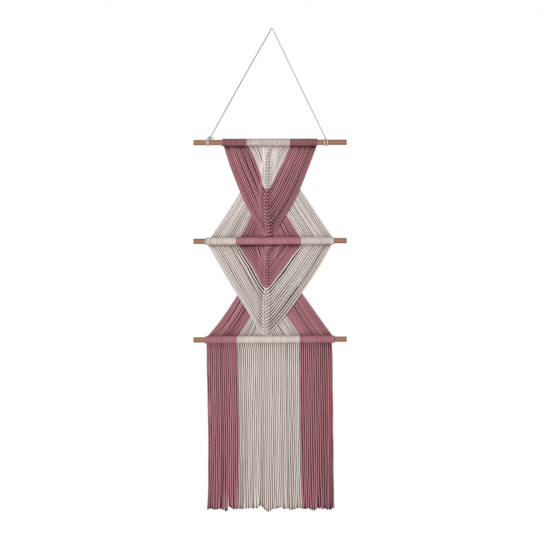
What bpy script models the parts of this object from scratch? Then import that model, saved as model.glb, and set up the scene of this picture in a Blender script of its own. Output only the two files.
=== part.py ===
# Macrame wall hanging: 64 pink and cream cotton cords on three wooden dowels, hung by one thin cord.
# Metres. X runs right, Z up, and the front faces -Y. The origin is under the bend of the hanging cord, the
# point that holds everything up.

import math
from bisect import bisect
from collections import namedtuple

import bmesh
import bpy
from mathutils import Vector
from mathutils.geometry import intersect_point_line

CLEARANCE = 0.0003  # between neighbouring pieces
TURN = 2 * math.pi

# Dowels
DOWEL_LENGTH = 0.340
DOWEL_RADIUS = 0.006
DOWEL_CENTRE = -0.0043  # in X
DOWEL_SIDES = 24
EDGE_ANGLE = math.radians(40)  # sharper edges than this stay crisp

# Cords
CORDS_EACH_SIDE = 32  # left and right of a spine
ROWS_OF_A_COLOUR = 16  # the knots of a spine, and the cords on each side, come in two colours
STRAND_WIDTH = 0.0032
STRAND_DEPTH = 0.0024
STRAND_GAP = 0.0004
LEAST_WIDTH = 0.0009  # where crowded cords lie half behind each other

# Bars: wraps round the dowels, turned in eight flat sides. Sides are numbered from the top one towards the back.
SIDES = 8
UP_BACK, UNDER = 1, 4
WRAP_CREST = 0.0088  # from the axis to a flat side
WRAP_VALLEY = 0.0080
COLLAR_CREST = 0.0093
BORE = DOWEL_RADIUS + CLEARANCE
TO_CORNER = 1 / math.cos(math.pi / SIDES)

RIDGES_A_CORD = 0.5  # one ridge for each pair of cords
Bar = namedtuple("Bar", "height rise left_end first_cord left_change right_change last_cord right_end")
TOP_BAR = Bar(-0.2520, 0.0022, -0.1112, -0.1085, -0.0578, 0.0400, 0.0975, 0.1002)
MIDDLE_BAR = Bar(-0.4710, 0.0054, -0.1478, -0.1425, -0.0800, 0.0644, 0.1335, 0.1384)
BOTTOM_BAR = Bar(-0.6900, 0.0054, -0.1490, -0.1462, -0.0782, 0.0618, 0.1348, 0.1384)

# Spines: columns of knots that each take one cord from either side.
# Sides are numbered from the right one towards the back.
RIGHT, RIGHT_BACK, LEFT_BACK, LEFT = 0, 1, 3, 4
SPINE_HALF_WIDTH = 0.0072
SPINE_HALF_DEPTH = 0.0042
SPINE_VALLEY = 0.90  # of the width between two knots
HEAD_TAPER = (0.36, 0.52, 0.70, 0.88)  # of the width at the first knots
FOOT_TAPER = (0.92, 0.80)  # and at the last

Spine = namedtuple("Spine", "centre top change foot")
UPPER_SPINE = Spine(-0.0089, -0.2622, -0.3555, -0.4600)
LOWER_SPINE = Spine(-0.0100, -0.4818, -0.5733, -0.6780)

# How far the outermost strand of each sheet of strands sags away from a straight line, outwards.
Sag = namedtuple("Sag", "left right")
UPPER_FRONT_SAG = Sag(0.0122, 0.0128)
UPPER_BACK_SAG = Sag(0.0, 0.0)
LOWER_FRONT_SAG = Sag(0.0060, 0.0118)
LOWER_BACK_SAG = Sag(-0.0050, -0.0010)

FRONT_DEPTH = -0.0012  # Y of the front sheets
BACK_DEPTH = 0.0046  # Y of the back sheets
ROOT = 0.0045  # from a knot or bar to where its strand has its full shape
HIDDEN_ROWS = 2  # first or last rows whose strands lie wholly inside the spine
LONG_STRAND = 0.080

# Fringe: its cords are a little looser and thicker, and lie in front of and behind their neighbours by turns.
FRINGE_LENGTH = 0.3755  # from the bottom dowel's axis
FRINGE_WIDTH = 0.0038
FRINGE_STAGGER = 0.00145
FRINGE_UNEVEN = 0.0007  # of the ends
FRINGE_WANDER = 0.0011
FRINGE_RINGS = (0.03, 0.36, 0.70, 1.0)  # of the length

# Where the ends are longer or shorter than the rest, over a few cords each.
EndSpot = namedtuple("EndSpot", "cord reach longer")
END_SPOTS = (
    EndSpot(9.0, 0.9, 0.0050),
    EndSpot(11.0, 0.9, -0.0040),
    EndSpot(21.1, 1.2, -0.0033),
    EndSpot(26.2, 1.3, -0.0072),
    EndSpot(30.8, 2.0, 0.0052),
    EndSpot(35.3, 1.5, -0.0033),
    EndSpot(42.4, 1.2, 0.0030),
    EndSpot(53.0, 1.5, 0.0030),
    EndSpot(60.6, 2.0, 0.0030),
)
PARTING_CORD = 10.5  # the left fringe opens between two cords near its ends
PARTING_HALF_WIDTH = 0.0021
PARTING_REACH = 2.2  # cords

# Hanging cord
CORD_RADIUS = 0.00125
CORD_POINTS = 64
CORD_SIDES_RESOLUTION = 2
CORD_ROUTE = (  # X and Z, from the left knot over the bend to the right turns
    (-0.1345, -0.2363),
    (-0.1131, -0.1978),
    (-0.0917, -0.1593),
    (-0.0703, -0.1208),
    (-0.0489, -0.0823),
    (-0.0275, -0.0438),
    (-0.0110, -0.0141),
    (-0.0056, -0.0044),
    (-0.0034, -0.0007),
    (0.0000, 0.00125),
    (0.0033, -0.0008),
    (0.0052, -0.0046),
    (0.0102, -0.0149),
    (0.0266, -0.0493),
    (0.0449, -0.0874),
    (0.0632, -0.1255),
    (0.0815, -0.1636),
    (0.0998, -0.2017),
    (0.1181, -0.2399),
)

# Its knot and turns
MERGE_DISTANCE = 0.00001
LOOP_SLACK = 0.0002
TURN_RADIUS = BORE + CORD_RADIUS + LOOP_SLACK
LOOP_POINTS = 16
LOOP_AT = (-0.1443, -0.1412)  # X of the two strands of the left loop
GATHER_LIFT = 0.0008  # of the strand that the other one draws to the knot
KNOT_CENTRE = Vector((-0.1380, 0.0, -0.2424))
KNOT_CORE = 0.0030
KNOT_LOBE = 0.0027
LOBE_POINTS = 9
TAIL = (Vector((0.0045, -0.0010, -0.0010)), Vector((0.0085, -0.0012, -0.0020)))  # from the knot's centre
TURNS_AT = (0.1172, 0.1232)  # X of the two turns at the right
CROSSING_ANGLE = math.radians(20)  # before and behind the top, where one turn crosses to the other

COLOURS = {
    "wood": (0.376, 0.209, 0.140),
    "cream": (0.610, 0.560, 0.515),
    "pink": (0.380, 0.152, 0.190),
    "white": (0.640, 0.615, 0.590),
}


def made_material(name, colour, roughness):
    material = bpy.data.materials.new(name)
    material.use_nodes = True
    shader = material.node_tree.nodes["Principled BSDF"]
    shader.inputs["Base Color"].default_value = (*COLOURS[colour], 1)
    shader.inputs["Roughness"].default_value = roughness
    shader.inputs["Metallic"].default_value = 0.0
    return material


def placed(name, mesh, collection, material):
    piece = bpy.data.objects.new(name, mesh)
    collection.objects.link(piece)
    mesh.materials.append(material)
    return piece


def from_bmesh(name, bm, collection, material):
    """The finished mesh, with each slightly twisted side of a strand split along its better diagonal."""
    bmesh.ops.recalc_face_normals(bm, faces=bm.faces)
    bmesh.ops.triangulate(bm, faces=bm.faces)
    mesh = bpy.data.meshes.new(name)
    bm.to_mesh(mesh)
    bm.free()
    return placed(name, mesh, collection, material)


# ---- ridged bars and spines -------------------------------------------------------------------------------


def faces_since(bm, before):
    return [face for face in bm.faces if face not in before]


def ridge_stations(start, end, ridges):
    """(position, 0 in a valley or 1 on a crest) along a run of ridges."""
    strips = round(2 * ridges)
    return [(start + (end - start) * k / strips, k % 2) for k in range(strips + 1)]


def add_sleeve(bm, bar, start, end, cords, collar_before=None, collar_after=None):
    """Wraps round a dowel, turned from their ridged outline. Returns two facets for each cord."""
    stations = ridge_stations(start, end, cords * RIDGES_A_CORD)
    outline = [(x, WRAP_CREST if crest else WRAP_VALLEY) for x, crest in stations]
    if collar_before is not None:
        outline = [(collar_before, WRAP_VALLEY), ((collar_before + start) / 2, COLLAR_CREST)] + outline
    if collar_after is not None:
        outline += [((collar_after + end) / 2, COLLAR_CREST), (collar_after, WRAP_VALLEY)]
    outline += [(outline[-1][0], BORE), (outline[0][0], BORE)]
    first_angle = math.pi / SIDES
    before = set(bm.faces)
    verts = []
    for x, flat_radius in outline:
        radius = flat_radius * TO_CORNER
        verts.append(
            bm.verts.new((x, radius * math.sin(first_angle), bar.height + radius * math.cos(first_angle)))
        )
    edges = [bm.edges.new((verts[i - 1], verts[i])) for i in range(len(verts))]
    axis_point = Vector((0, 0, bar.height))
    bmesh.ops.spin(
        bm, geom=verts + edges, cent=axis_point, axis=(1, 0, 0), angle=TURN, steps=SIDES, use_merge=True
    )
    faces = faces_since(bm, before)
    facets = {}
    xs = [x for x, _ in stations]
    for face in faces:
        centre = face.calc_center_median() - axis_point
        if math.hypot(centre.y, centre.z) < (BORE + WRAP_VALLEY) / 2 or not xs[0] < centre.x < xs[-1]:
            continue
        side = round(math.atan2(centre.y, centre.z) / TURN * SIDES) % SIDES
        facets[bisect(xs, centre.x) - 1, side] = face
    for vert in {vert for face in faces for vert in face.verts}:
        vert.co.z += bar.rise * (vert.co.x - DOWEL_CENTRE)
    return [{"over": facets[cord, UP_BACK], "under": facets[cord, UNDER]} for cord in range(cords)]


def add_bar(left, middle, right, bar):
    """The three colour runs of a bar, each in its own mesh. Returns its cords' facets from left to right."""
    half = CLEARANCE / 2
    outer, inner = ROWS_OF_A_COLOUR, 2 * ROWS_OF_A_COLOUR
    left_run = (bar.first_cord, bar.left_change - half)
    middle_run = (bar.left_change + half, bar.right_change - half)
    right_run = (bar.right_change + half, bar.last_cord)
    facets = add_sleeve(left, bar, *left_run, outer, collar_before=bar.left_end)
    facets += add_sleeve(middle, bar, *middle_run, inner)
    facets += add_sleeve(right, bar, *right_run, outer, collar_after=bar.right_end)
    return facets


def row_width(row):
    last = 2 * ROWS_OF_A_COLOUR - 1
    taper = 1.0
    if row < len(HEAD_TAPER):
        taper = HEAD_TAPER[row]
    if last - row < len(FOOT_TAPER):
        taper = FOOT_TAPER[len(FOOT_TAPER) - 1 - (last - row)]
    return SPINE_HALF_WIDTH * taper


def add_spine_part(bm, spine, start, end, first_row):
    """Sixteen knots of a spine, turned about its own axis and flattened. Returns the facets of its rows."""
    stations = ridge_stations(start, end, ROWS_OF_A_COLOUR)
    before = set(bm.faces)
    verts = []
    angle = math.pi / SIDES
    for strip, (z, crest) in enumerate(stations):
        row = first_row + min(strip // 2, ROWS_OF_A_COLOUR - 1)
        width = row_width(row)
        if not crest:
            width = SPINE_VALLEY * min(width, row_width(max(row - 1, first_row)))
        radius = width * TO_CORNER
        verts.append(bm.verts.new((spine.centre + radius * math.cos(angle), radius * math.sin(angle), z)))
    edges = [bm.edges.new(pair) for pair in zip(verts, verts[1:])]
    axis_point = Vector((spine.centre, 0, 0))
    bmesh.ops.spin(
        bm, geom=verts + edges, cent=axis_point, axis=(0, 0, 1), angle=TURN, steps=SIDES, use_merge=True
    )
    open_edges = [edge for edge in bm.edges if edge.is_boundary]
    bmesh.ops.holes_fill(bm, edges=open_edges, sides=SIDES)
    faces = faces_since(bm, before)
    facets = {}
    zs = [-z for z, _ in stations]
    for face in faces:
        if len(face.verts) == SIDES:
            continue
        centre = face.calc_center_median() - axis_point
        side = round(math.atan2(centre.y, centre.x) / TURN * SIDES) % SIDES
        facets[bisect(zs, -centre.z) - 1, side] = face
    for vert in {vert for face in faces for vert in face.verts}:
        vert.co.y *= SPINE_HALF_DEPTH / SPINE_HALF_WIDTH
    return [
        {
            "front": (facets[2 * row, LEFT], facets[2 * row, RIGHT]),
            "back": (facets[2 * row + 1, LEFT_BACK], facets[2 * row + 1, RIGHT_BACK]),
        }
        for row in range(ROWS_OF_A_COLOUR)
    ]


def add_spine(first, second, spine):
    half = CLEARANCE / 2
    rows = add_spine_part(first, spine, spine.top, spine.change + half, 0)
    return rows + add_spine_part(second, spine, spine.change - half, spine.foot, ROWS_OF_A_COLOUR)


# ---- strands ----------------------------------------------------------------------------------------------


def ordered_corners(face, side):
    """A facet's corners in a strand ring's order: the front pair, then the back pair the other way."""
    by_depth = sorted(face.verts, key=lambda vert: vert.co.y)
    front = sorted(by_depth[:2], key=lambda vert: vert.co.dot(side))
    back = sorted(by_depth[2:], key=lambda vert: vert.co.dot(side))
    return [front[0], front[1], back[1], back[0]]


def side_vector(before, after):
    """Across a strand in the plane of the hanging."""
    way = after - before
    return Vector((-way.z, 0, way.x)).normalized()


def add_strand(bm, path, widths, start_face, end_face=None, level_end=False):
    """A four-sided strand through the points of path, from one facet to another or to a cut end."""
    rings = [ordered_corners(start_face, side_vector(path[0], path[1]))]
    last = len(path) - 1
    for i in range(1, last if end_face else last + 1):
        side = side_vector(path[i - 1], path[min(i + 1, last)])
        across = side * widths[i] / 2
        if level_end and i == last:
            across = Vector((widths[i] / 2 / side.x, 0, 0))
        depth = Vector((0, STRAND_DEPTH / 2, 0))
        corners = (-across - depth, across - depth, across + depth, -across + depth)
        rings.append([bm.verts.new(path[i] + corner) for corner in corners])
    if end_face:
        rings.append(ordered_corners(end_face, side_vector(path[-2], path[-1])))
    used = [face for face in (start_face, end_face) if face]
    bmesh.ops.delete(bm, geom=used, context="FACES_ONLY")
    for ring, following in zip(rings, rings[1:]):
        for k in range(4):
            bm.faces.new((ring[k - 1], ring[k], following[k], following[k - 1]))
    if not end_face:
        bm.faces.new(rings[-1])


def sag_share(t):
    """How much of its sag a strand has at t of its way down: most a little below the middle."""
    return 4 * t * (1 - t) * (0.7 + 0.6 * t)


def strand_path(start, end, sag, depth, settles_at_end):
    """Points from one facet's centre to another's, bowed sideways by sag and lying at depth between them."""
    first = start.lerp(end, ROOT / (end - start).length)
    last = end + Vector((0, 0, ROOT)) if settles_at_end else end
    length = (last - first).length
    middles = 0 if not sag else 2 if length > LONG_STRAND else 1
    points = [start.copy()]
    for k in range(middles + (2 if settles_at_end else 1)):
        t = k / (middles + 1)
        point = first.lerp(last, t)
        point.x += sag * sag_share(t)
        point.y = depth
        points.append(point)
    return points + [end.copy()]


def flat_distance(point, path):
    """From a point to a strand's path, seen from the front."""
    flat = Vector((point.x, point.z))
    best = math.inf
    for a, b in zip(path, path[1:]):
        a, b = Vector((a.x, a.z)), Vector((b.x, b.z))
        near, share = intersect_point_line(flat, a, b)
        near = a if share < 0 else b if share > 1 else near
        best = min(best, (flat - near).length)
    return best


def strand_widths(paths, i):
    """A width for each point of path i that leaves a gap to its neighbours."""
    neighbours = [paths[k] for k in (i - 1, i + 1) if 0 <= k < len(paths)]
    widths = []
    for point in paths[i]:
        room = min(flat_distance(point, path) for path in neighbours)
        widths.append(max(LEAST_WIDTH, min(STRAND_WIDTH, room - STRAND_GAP)))
    return widths


def mesh_of_row(meshes, row):
    return meshes[0] if row < ROWS_OF_A_COLOUR else meshes[1]


def add_front_sheet(meshes, bar_facets, spine_rows, sag):
    """Strands from under a bar to the sides of the spine; the cord nearest the spine joins its first row."""
    last = CORDS_EACH_SIDE - 1
    for side, outward, outer_sag in ((0, -1, sag.left), (1, 1, sag.right)):
        rows = range(HIDDEN_ROWS, CORDS_EACH_SIDE)
        ends = []
        for row in rows:
            cord = last - row if side == 0 else last + 1 + row
            ends.append((bar_facets[cord]["under"], spine_rows[row]["front"][side]))
        paths = [
            strand_path(
                upper.calc_center_median(),
                lower.calc_center_median(),
                outward * outer_sag * (row / last) ** 1.5,
                FRONT_DEPTH,
                settles_at_end=False,
            )
            for row, (upper, lower) in zip(rows, ends)
        ]
        for i, row in enumerate(rows):
            add_strand(mesh_of_row(meshes, row), paths[i], strand_widths(paths, i), *ends[i])


def add_back_sheet(meshes, spine_rows, bar_facets, bar, sag, into_bar):
    """Strands from the back of the spine to the bar below; the first row runs to the outermost place."""
    last = CORDS_EACH_SIDE - 1
    for side, outward, outer_sag in ((0, -1, sag.left), (1, 1, sag.right)):
        rows = range(CORDS_EACH_SIDE - HIDDEN_ROWS)
        ends, paths = [], []
        for row in rows:
            place = row if side == 0 else 2 * CORDS_EACH_SIDE - 1 - row
            upper, lower = spine_rows[row]["back"][side], bar_facets[place]["over"]
            target = lower.calc_center_median()
            if not into_bar:
                bar_axis = bar.height + bar.rise * (target.x - DOWEL_CENTRE)
                target.y, target.z = BACK_DEPTH, bar_axis + WRAP_CREST + CLEARANCE
            ends.append((upper, lower if into_bar else None))
            bend = outward * outer_sag * (1 - row / last)
            paths.append(strand_path(upper.calc_center_median(), target, bend, BACK_DEPTH, into_bar))
        for i, row in enumerate(rows):
            upper, lower = ends[i]
            mesh = mesh_of_row(meshes, row)
            add_strand(mesh, paths[i], strand_widths(paths, i), upper, lower, level_end=not into_bar)


def end_change(cord):
    """How much longer than the rest a fringe cord hangs."""
    change = FRINGE_UNEVEN * math.sin(2.3 * cord + 1.7 * math.sin(0.9 * cord))
    for spot in END_SPOTS:
        change += spot.longer * math.exp(-(((cord - spot.cord) / spot.reach) ** 2))
    return change


def fringe_sway(cord, share):
    """How far a fringe cord has strayed sideways at a share of its length."""
    sway = FRINGE_WANDER * math.sin(0.9 * cord + 3.1 * share) * math.sin(0.37 * cord + 2.0 * share)
    away = cord - PARTING_CORD
    push = math.copysign(math.exp(-abs(away) / PARTING_REACH), away)
    return sway * share + push * PARTING_HALF_WIDTH * share**6


def add_fringe(bm, facets, first_cord):
    """Hanging strands under a run of the bottom bar, a little uneven in place and length."""
    for i, facet in enumerate(facets):
        cord = first_cord + i
        start = facet["under"].calc_center_median()
        length = FRINGE_LENGTH + end_change(cord)
        depth = FRINGE_STAGGER if cord % 2 else -FRINGE_STAGGER
        path = [start]
        for share in FRINGE_RINGS:
            x = start.x + fringe_sway(cord, share)
            path.append(Vector((x, depth, BOTTOM_BAR.height - length * share)))
        path[1].z = start.z - ROOT
        add_strand(bm, path, [FRINGE_WIDTH] * len(path), facet["under"])


def build_net(collection):
    """All knotted cords: one piece of net for each colour, and the fringe in three pieces."""
    cream, pink = bmesh.new(), bmesh.new()
    fringe = {"fringe_left": bmesh.new(), "fringe_centre": bmesh.new(), "fringe_right": bmesh.new()}
    top = add_bar(pink, cream, pink, TOP_BAR)
    middle = add_bar(cream, pink, cream, MIDDLE_BAR)
    bottom = add_bar(*fringe.values(), BOTTOM_BAR)
    upper = add_spine(cream, pink, UPPER_SPINE)
    lower = add_spine(pink, cream, LOWER_SPINE)
    add_front_sheet((cream, pink), top, upper, UPPER_FRONT_SAG)
    add_back_sheet((cream, pink), upper, middle, MIDDLE_BAR, UPPER_BACK_SAG, into_bar=True)
    add_front_sheet((pink, cream), middle, lower, LOWER_FRONT_SAG)
    add_back_sheet((pink, cream), lower, bottom, BOTTOM_BAR, LOWER_BACK_SAG, into_bar=False)
    outer = ROWS_OF_A_COLOUR
    runs = ((0, outer), (outer, 3 * outer), (3 * outer, 4 * outer))
    for bm, (first, end) in zip(fringe.values(), runs):
        add_fringe(bm, bottom[first:end], first)
    from_bmesh("cream_net", cream, collection, made_material("cream cotton cord", "cream", 0.9))
    from_bmesh("pink_net", pink, collection, made_material("pink cotton cord", "pink", 0.9))
    for name, bm in fringe.items():
        colour = "cream" if name == "fringe_centre" else "pink"
        from_bmesh(name, bm, collection, made_material(f"{name} cotton cord", colour, 0.9))


# ---- dowels and hanging cord ------------------------------------------------------------------------------


def build_dowel(name, bar, collection):
    bm = bmesh.new()
    bmesh.ops.create_cone(
        bm,
        cap_ends=True,
        segments=DOWEL_SIDES,
        radius1=DOWEL_RADIUS,
        radius2=DOWEL_RADIUS,
        depth=DOWEL_LENGTH,
    )
    dowel = from_bmesh(name, bm, collection, made_material(f"{name} wood", "wood", 0.55))
    dowel.data.shade_smooth()
    dowel.data.set_sharp_from_angle(angle=EDGE_ANGLE)
    dowel.location = (DOWEL_CENTRE, 0, bar.height)
    dowel.rotation_euler = (0, math.pi / 2 - math.atan(bar.rise), 0)
    return dowel


def tube(name, points, collection, material, cyclic=False):
    curve = bpy.data.curves.new(name, "CURVE")
    curve.dimensions = "3D"
    curve.bevel_depth = CORD_RADIUS
    curve.bevel_resolution = CORD_SIDES_RESOLUTION
    curve.use_fill_caps = not cyclic
    spline = curve.splines.new("POLY")
    spline.points.add(len(points) - 1)
    for spline_point, point in zip(spline.points, points):
        spline_point.co = (*point, 1)
    spline.use_cyclic_u = cyclic
    piece = bpy.data.objects.new(name, curve)
    collection.objects.link(piece)
    curve.materials.append(material)
    return piece


def as_mesh(piece):
    """The tube as a closed mesh, which a Boolean can join."""
    bpy.context.view_layer.update()
    evaluated = piece.evaluated_get(bpy.context.evaluated_depsgraph_get())
    mesh = bpy.data.meshes.new_from_object(evaluated)
    bm = bmesh.new()
    bm.from_mesh(mesh)
    bmesh.ops.remove_doubles(bm, verts=bm.verts, dist=MERGE_DISTANCE)
    bm.to_mesh(mesh)
    bm.free()
    solid = bpy.data.objects.new(piece.name, mesh)
    solid.matrix_world = piece.matrix_world.copy()
    for collection in piece.users_collection:
        collection.objects.link(solid)
    name = piece.name
    bpy.data.objects.remove(piece)
    solid.name = name
    return solid


def joined(pieces, cutters):
    """The first piece with the others joined to it by Boolean unions; the others become cutters."""
    whole = pieces[0]
    for other in pieces[1:]:
        union = whole.modifiers.new(f"join {other.name}", "BOOLEAN")
        union.operation = "UNION"
        union.solver = "EXACT"
        union.object = other
        for collection in list(other.users_collection):
            collection.objects.unlink(other)
        cutters.objects.link(other)
        other.hide_render = True
        other.display_type = "WIRE"
    return whole


def circle_points(centre, first, second, radius, count, start=0.0, turn=TURN):
    """Points along an arc in the plane of two unit vectors; a whole turn doesn't repeat its first point."""
    steps = count if turn == TURN else count - 1
    angles = [start + turn * k / steps for k in range(count)]
    return [centre + first * (radius * math.cos(a)) + second * (radius * math.sin(a)) for a in angles]


def smooth_path(points, count):
    """Evenly spaced points on one smooth curve through the given ones."""
    lengths = [(after - before).length for before, after in zip(points, points[1:])]
    slopes = [(after - before) / length for before, after, length in zip(points, points[1:], lengths)]
    ways = [slopes[0]]
    for k in range(1, len(slopes)):
        weight = lengths[k - 1] / (lengths[k - 1] + lengths[k])
        ways.append(slopes[k - 1].lerp(slopes[k], weight))
    ways.append(slopes[-1])
    whole = sum(lengths)
    path, span, passed = [], 0, 0.0
    for k in range(count):
        distance = whole * k / (count - 1)
        while span < len(lengths) - 1 and distance > passed + lengths[span]:
            passed += lengths[span]
            span += 1
        t = (distance - passed) / lengths[span]
        before, after, length = points[span], points[span + 1], lengths[span]
        path.append(
            before * (2 * t**3 - 3 * t**2 + 1)
            + ways[span] * (length * (t**3 - 2 * t**2 + t))
            + after * (3 * t**2 - 2 * t**3)
            + ways[span + 1] * (length * (t**3 - t**2))
        )
    return path


def route_points():
    return [Vector((x, 0, z)) for x, z in CORD_ROUTE]


def cord_stub(centre, end, after):
    """The short piece of cord from a knot to just short of the hanging cord's end."""
    way = (after - end).normalized()
    return [centre, end - way * CLEARANCE]


def knot_core(collection, material):
    bm = bmesh.new()
    bmesh.ops.create_icosphere(bm, subdivisions=1, radius=KNOT_CORE)
    core = from_bmesh("knot_core", bm, collection, material)
    core.location = KNOT_CENTRE
    return core


def dowel_loop(name, x, collection, material):
    centre = Vector((x, 0, TOP_BAR.height))
    ring = circle_points(centre, Vector((0, 1, 0)), Vector((0, 0, 1)), TURN_RADIUS, LOOP_POINTS)
    return tube(name, ring, collection, material, cyclic=True)


def build_left_knot(collection, cutters):
    """A loop of two strands round the dowel, gathered into a knot on top with a short tail."""
    material = made_material("knot cotton cord", "white", 0.9)
    pieces = [dowel_loop(f"loop_strand_{i}", x, collection, material) for i, x in enumerate(LOOP_AT)]
    end, after = route_points()[:2]
    way, back = (after - end).normalized(), Vector((0, 1, 0))
    across = Vector((-way.z, 0, way.x))
    pieces.append(knot_core(collection, material))
    for i, first in enumerate((across, way)):
        arc = circle_points(
            KNOT_CENTRE, first, back, KNOT_LOBE, LOBE_POINTS, start=i * math.pi / 2, turn=0.75 * TURN
        )
        pieces.append(tube(f"knot_lobe_{i}", [*arc, KNOT_CENTRE], collection, material))
    top = TOP_BAR.height + TURN_RADIUS
    gather = [Vector((LOOP_AT[0], 0, top)), Vector((LOOP_AT[1], 0, top + GATHER_LIFT)), KNOT_CENTRE]
    tail = [KNOT_CENTRE, *(KNOT_CENTRE + step for step in TAIL)]
    pieces.append(tube("knot_gather", gather, collection, material))
    pieces.append(tube("knot_stub", cord_stub(KNOT_CENTRE, end, after), collection, material))
    pieces.append(tube("knot_tail", tail, collection, material))
    whole = joined([as_mesh(piece) for piece in pieces], cutters)
    whole.name = "cord_knot_left"
    return whole


def build_right_turns(collection, cutters):
    """Two turns round the dowel, crossed over on top, where the cord leaves them."""
    material = made_material("turn cotton cord", "white", 0.9)
    pieces = [dowel_loop(f"turn_{i}", x, collection, material) for i, x in enumerate(TURNS_AT)]
    before, end = route_points()[-2:]
    top = Vector((sum(TURNS_AT) / 2, 0, TOP_BAR.height + TURN_RADIUS))
    lean = TURN_RADIUS * math.sin(CROSSING_ANGLE)
    fall = TURN_RADIUS * (1 - math.cos(CROSSING_ANGLE))
    crossing = [
        Vector((TURNS_AT[0], -lean, top.z - fall)),
        top,
        Vector((TURNS_AT[1], lean, top.z - fall)),
    ]
    pieces.append(tube("turn_crossing", crossing, collection, material))
    pieces.append(tube("turn_stub", cord_stub(top, end, before), collection, material))
    whole = joined([as_mesh(piece) for piece in pieces], cutters)
    whole.name = "cord_turns_right"
    return whole


def main():
    for old in list(bpy.data.objects):
        bpy.data.objects.remove(old)
    collection = bpy.data.collections.new("macrame wall hanging")
    cutters = bpy.data.collections.new("cutters")
    bpy.context.scene.collection.children.link(collection)
    bpy.context.scene.collection.children.link(cutters)
    build_dowel("dowel_top", TOP_BAR, collection)
    build_dowel("dowel_middle", MIDDLE_BAR, collection)
    build_dowel("dowel_bottom", BOTTOM_BAR, collection)
    build_net(collection)
    route = smooth_path(route_points(), CORD_POINTS)
    tube("hanging_cord", route, collection, made_material("hanging cotton cord", "white", 0.9))
    build_left_knot(collection, cutters)
    build_right_turns(collection, cutters)


main()
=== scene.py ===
import math
from functools import partial

import bpy
import numpy as np
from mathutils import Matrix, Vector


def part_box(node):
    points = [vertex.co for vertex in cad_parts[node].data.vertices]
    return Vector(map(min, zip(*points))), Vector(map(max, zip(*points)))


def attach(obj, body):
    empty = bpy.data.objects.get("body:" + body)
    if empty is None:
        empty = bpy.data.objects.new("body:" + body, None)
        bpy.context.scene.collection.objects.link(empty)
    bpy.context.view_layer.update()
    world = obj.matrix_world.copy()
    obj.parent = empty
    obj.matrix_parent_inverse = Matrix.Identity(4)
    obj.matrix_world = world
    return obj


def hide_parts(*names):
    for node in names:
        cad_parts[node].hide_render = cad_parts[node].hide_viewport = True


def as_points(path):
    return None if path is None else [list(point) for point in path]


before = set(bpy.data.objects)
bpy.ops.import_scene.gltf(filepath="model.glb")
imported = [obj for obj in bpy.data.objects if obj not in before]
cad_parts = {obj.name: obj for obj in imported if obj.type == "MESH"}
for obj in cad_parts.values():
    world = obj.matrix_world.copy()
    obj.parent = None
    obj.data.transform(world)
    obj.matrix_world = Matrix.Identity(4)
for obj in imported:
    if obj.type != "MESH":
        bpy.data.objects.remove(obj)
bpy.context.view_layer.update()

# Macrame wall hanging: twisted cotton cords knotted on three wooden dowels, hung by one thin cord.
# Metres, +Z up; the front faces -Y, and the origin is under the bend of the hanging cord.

turn = 2 * math.pi
random = np.random.default_rng(7)
print("frame loaded")


# The view: straight on from the front, with the whole hanging in a square of 1.2 m.
view = {
    "middle": (-0.0044, 0.0, -0.5355),
    "width": 1.2,  # across the square, at the hanging
    "lens": 100.0, "sensor": 36.0, "farthest": 30.0,
}


def addObject(name, data):
    made = bpy.data.objects.new(name, data)
    bpy.context.scene.collection.objects.link(made)
    return made


def addCamera():
    camera = addObject("camera", bpy.data.cameras.new("camera"))
    lens = camera.data
    lens.lens, lens.sensor_width, lens.clip_end = (view[key] for key in ("lens", "sensor", "farthest"))
    x, y, z = view["middle"]
    distance = view["width"] * view["lens"] / view["sensor"]
    camera.location = (x, y - distance, z)
    camera.rotation_euler = (math.radians(90), 0, 0)
    bpy.context.scene.camera = camera


addCamera()
print("camera placed")


# Lines and cords
plies = 3
fewestPoints = 4  # of a line
frontReach = 0.35  # round a cord's sides, of the painted shade on its front


def stack(*parts):
    # Coordinates side by side, each broadcast to one shape
    return np.stack(np.broadcast_arrays(*parts), axis=-1)


def between(number, values):
    # Read between the values, which are numbered from 0.
    return np.interp(number, np.arange(len(values)), values)


def smoothLine(points, step=None, count=None):
    # A cubic through the points, each span eased by the slopes next to it, read at even steps of chord length.
    points = np.asarray(points, float)
    steps = np.diff(points, axis=0)
    spans = np.linalg.norm(steps, axis=1)
    reached = np.r_[0.0, np.cumsum(spans)]
    slopes = steps / spans[:, None]
    share = (spans[:-1] / (spans[:-1] + spans[1:]))[:, None]
    ways = np.vstack([slopes[:1], slopes[:-1] * (1 - share) + slopes[1:] * share, slopes[-1:]])
    if count is None:
        count = max(fewestPoints, round(reached[-1] / step) + 1)
    at = np.linspace(0, reached[-1], count)
    k = np.clip(np.searchsorted(reached, at, side="right") - 1, 0, len(spans) - 1)
    length = spans[k][:, None]
    t = ((at - reached[k]) / spans[k])[:, None]
    return (
        points[k] * (2 * t**3 - 3 * t**2 + 1)
        + ways[k] * length * (t**3 - 2 * t**2 + t)
        + points[k + 1] * (3 * t**2 - 2 * t**3)
        + ways[k + 1] * length * (t**3 - t**2)
    )


def unit(vectors):
    # Each vector by its own length
    return vectors / np.linalg.norm(vectors, axis=-1, keepdims=True)


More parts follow.
